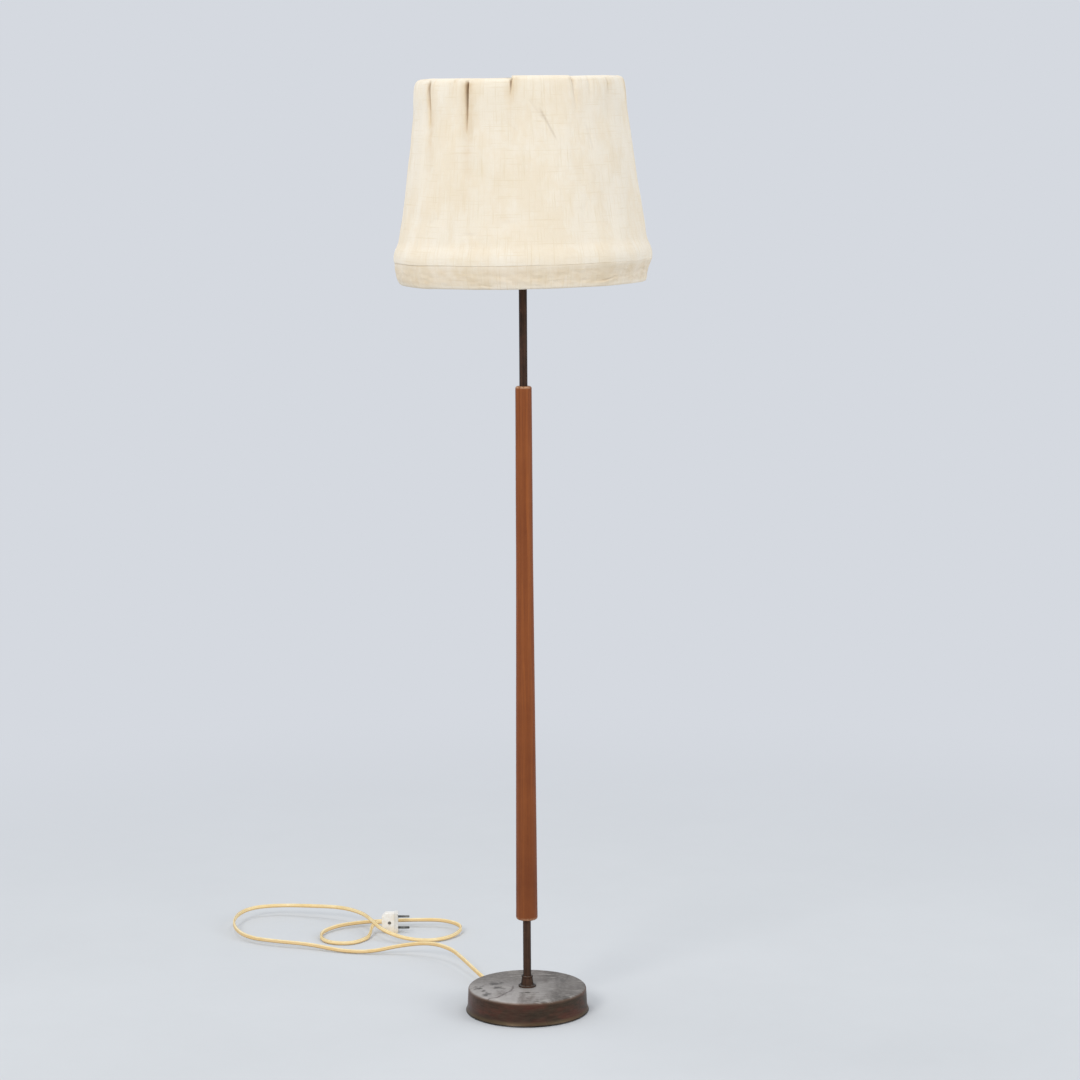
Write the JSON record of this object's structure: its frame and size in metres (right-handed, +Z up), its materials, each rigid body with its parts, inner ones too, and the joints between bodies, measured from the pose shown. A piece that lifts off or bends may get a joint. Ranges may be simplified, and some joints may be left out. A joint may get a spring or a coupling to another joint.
{
  "type": "candlestick floor lamp",
  "caption": "Floor lamp with a round weighted base, slender tapered wooden stem between brass tubes, pleated conical cloth shade, lampholder with key switch, and a mains flex with plug.",
  "frame": {"origin": "on the floor, under the centre of the round base", "axes": "+Z up along the stem; the front of the lamp faces -Y; the flex leaves the base at the back, towards +Y and -X"},
  "size_m": [0.6851, 0.7398, 1.4021],
  "materials": {
    "dark_brass": "dark brown patina, satin",
    "iron": "rough",
    "felt": "matte felt",
    "steel": "satin",
    "teak": "oiled, satin",
    "bakelite": "glossy",
    "porcelain": "glazed",
    "bright_brass": "satin",
    "nickel": "satin",
    "bulb_glass": "frosted",
    "shade_wire": "satin",
    "linen": "matte weave",
    "flex": "satin",
    "plug_white": "satin"
  },
  "bodies": {
    "stand": {"base_cover": "dark_brass", "base_weight": "iron", "base_felt": "felt", "base_washer": "steel", "base_locknut": "steel", "cord_bushing": "bakelite", "stem_collar": "dark_brass", "lower_tube": "dark_brass", "wood_shaft": "teak", "upper_tube": "dark_brass", "tie_tube": "steel", "top_ferrule": "dark_brass", "holder_cap": "bakelite", "holder_shell": "bakelite", "holder_insulator": "porcelain", "holder_screw_sleeve": "bright_brass", "centre_contact": "bright_brass", "terminal_screws": "steel", "shade_nut_lower": "bakelite", "shade_nut_upper": "bakelite", "inner_flex": "flex", "cord": "flex", "plug_half_front": "plug_white", "plug_half_rear": "plug_white", "plug_pins": "bright_brass", "plug_screw": "steel"},
    "shade": {"shade_cloth": "linen", "shade_band": "linen", "shade_top_ring": "shade_wire", "shade_seam_ring": "shade_wire", "shade_bottom_ring": "shade_wire", "fitter_ring": "shade_wire", "shade_rib_1": "shade_wire", "shade_rib_2": "shade_wire", "shade_rib_3": "shade_wire", "shade_rib_4": "shade_wire", "shade_rib_5": "shade_wire", "shade_rib_6": "shade_wire", "spider_arm_1": "shade_wire", "spider_arm_2": "shade_wire", "spider_arm_3": "shade_wire"},
    "key": {"switch_spindle": "steel", "switch_key": "bakelite"},
    "bulb": {"bulb_contact": "bright_brass", "bulb_cap": "nickel", "bulb_glass": "bulb_glass", "bulb_mount": "bulb_glass"}
  },
  "joints": [
    {"name": "shade_turn", "type": "hinge", "parent": "stand", "child": "shade", "pos_m": [0, 0, 1.215], "axis": [0, 0, 1], "continuous": true},
    {"name": "key_turn", "type": "hinge", "parent": "stand", "child": "key", "pos_m": [-0.02486, 0.00261, 1.1875], "axis": [-0.9945, 0.1045, 0], "continuous": true},
    {"name": "bulb_lift", "type": "slide", "parent": "stand", "child": "bulb", "axis": [0, 0, 1], "range_m": [0, 0.2]}
  ]
}
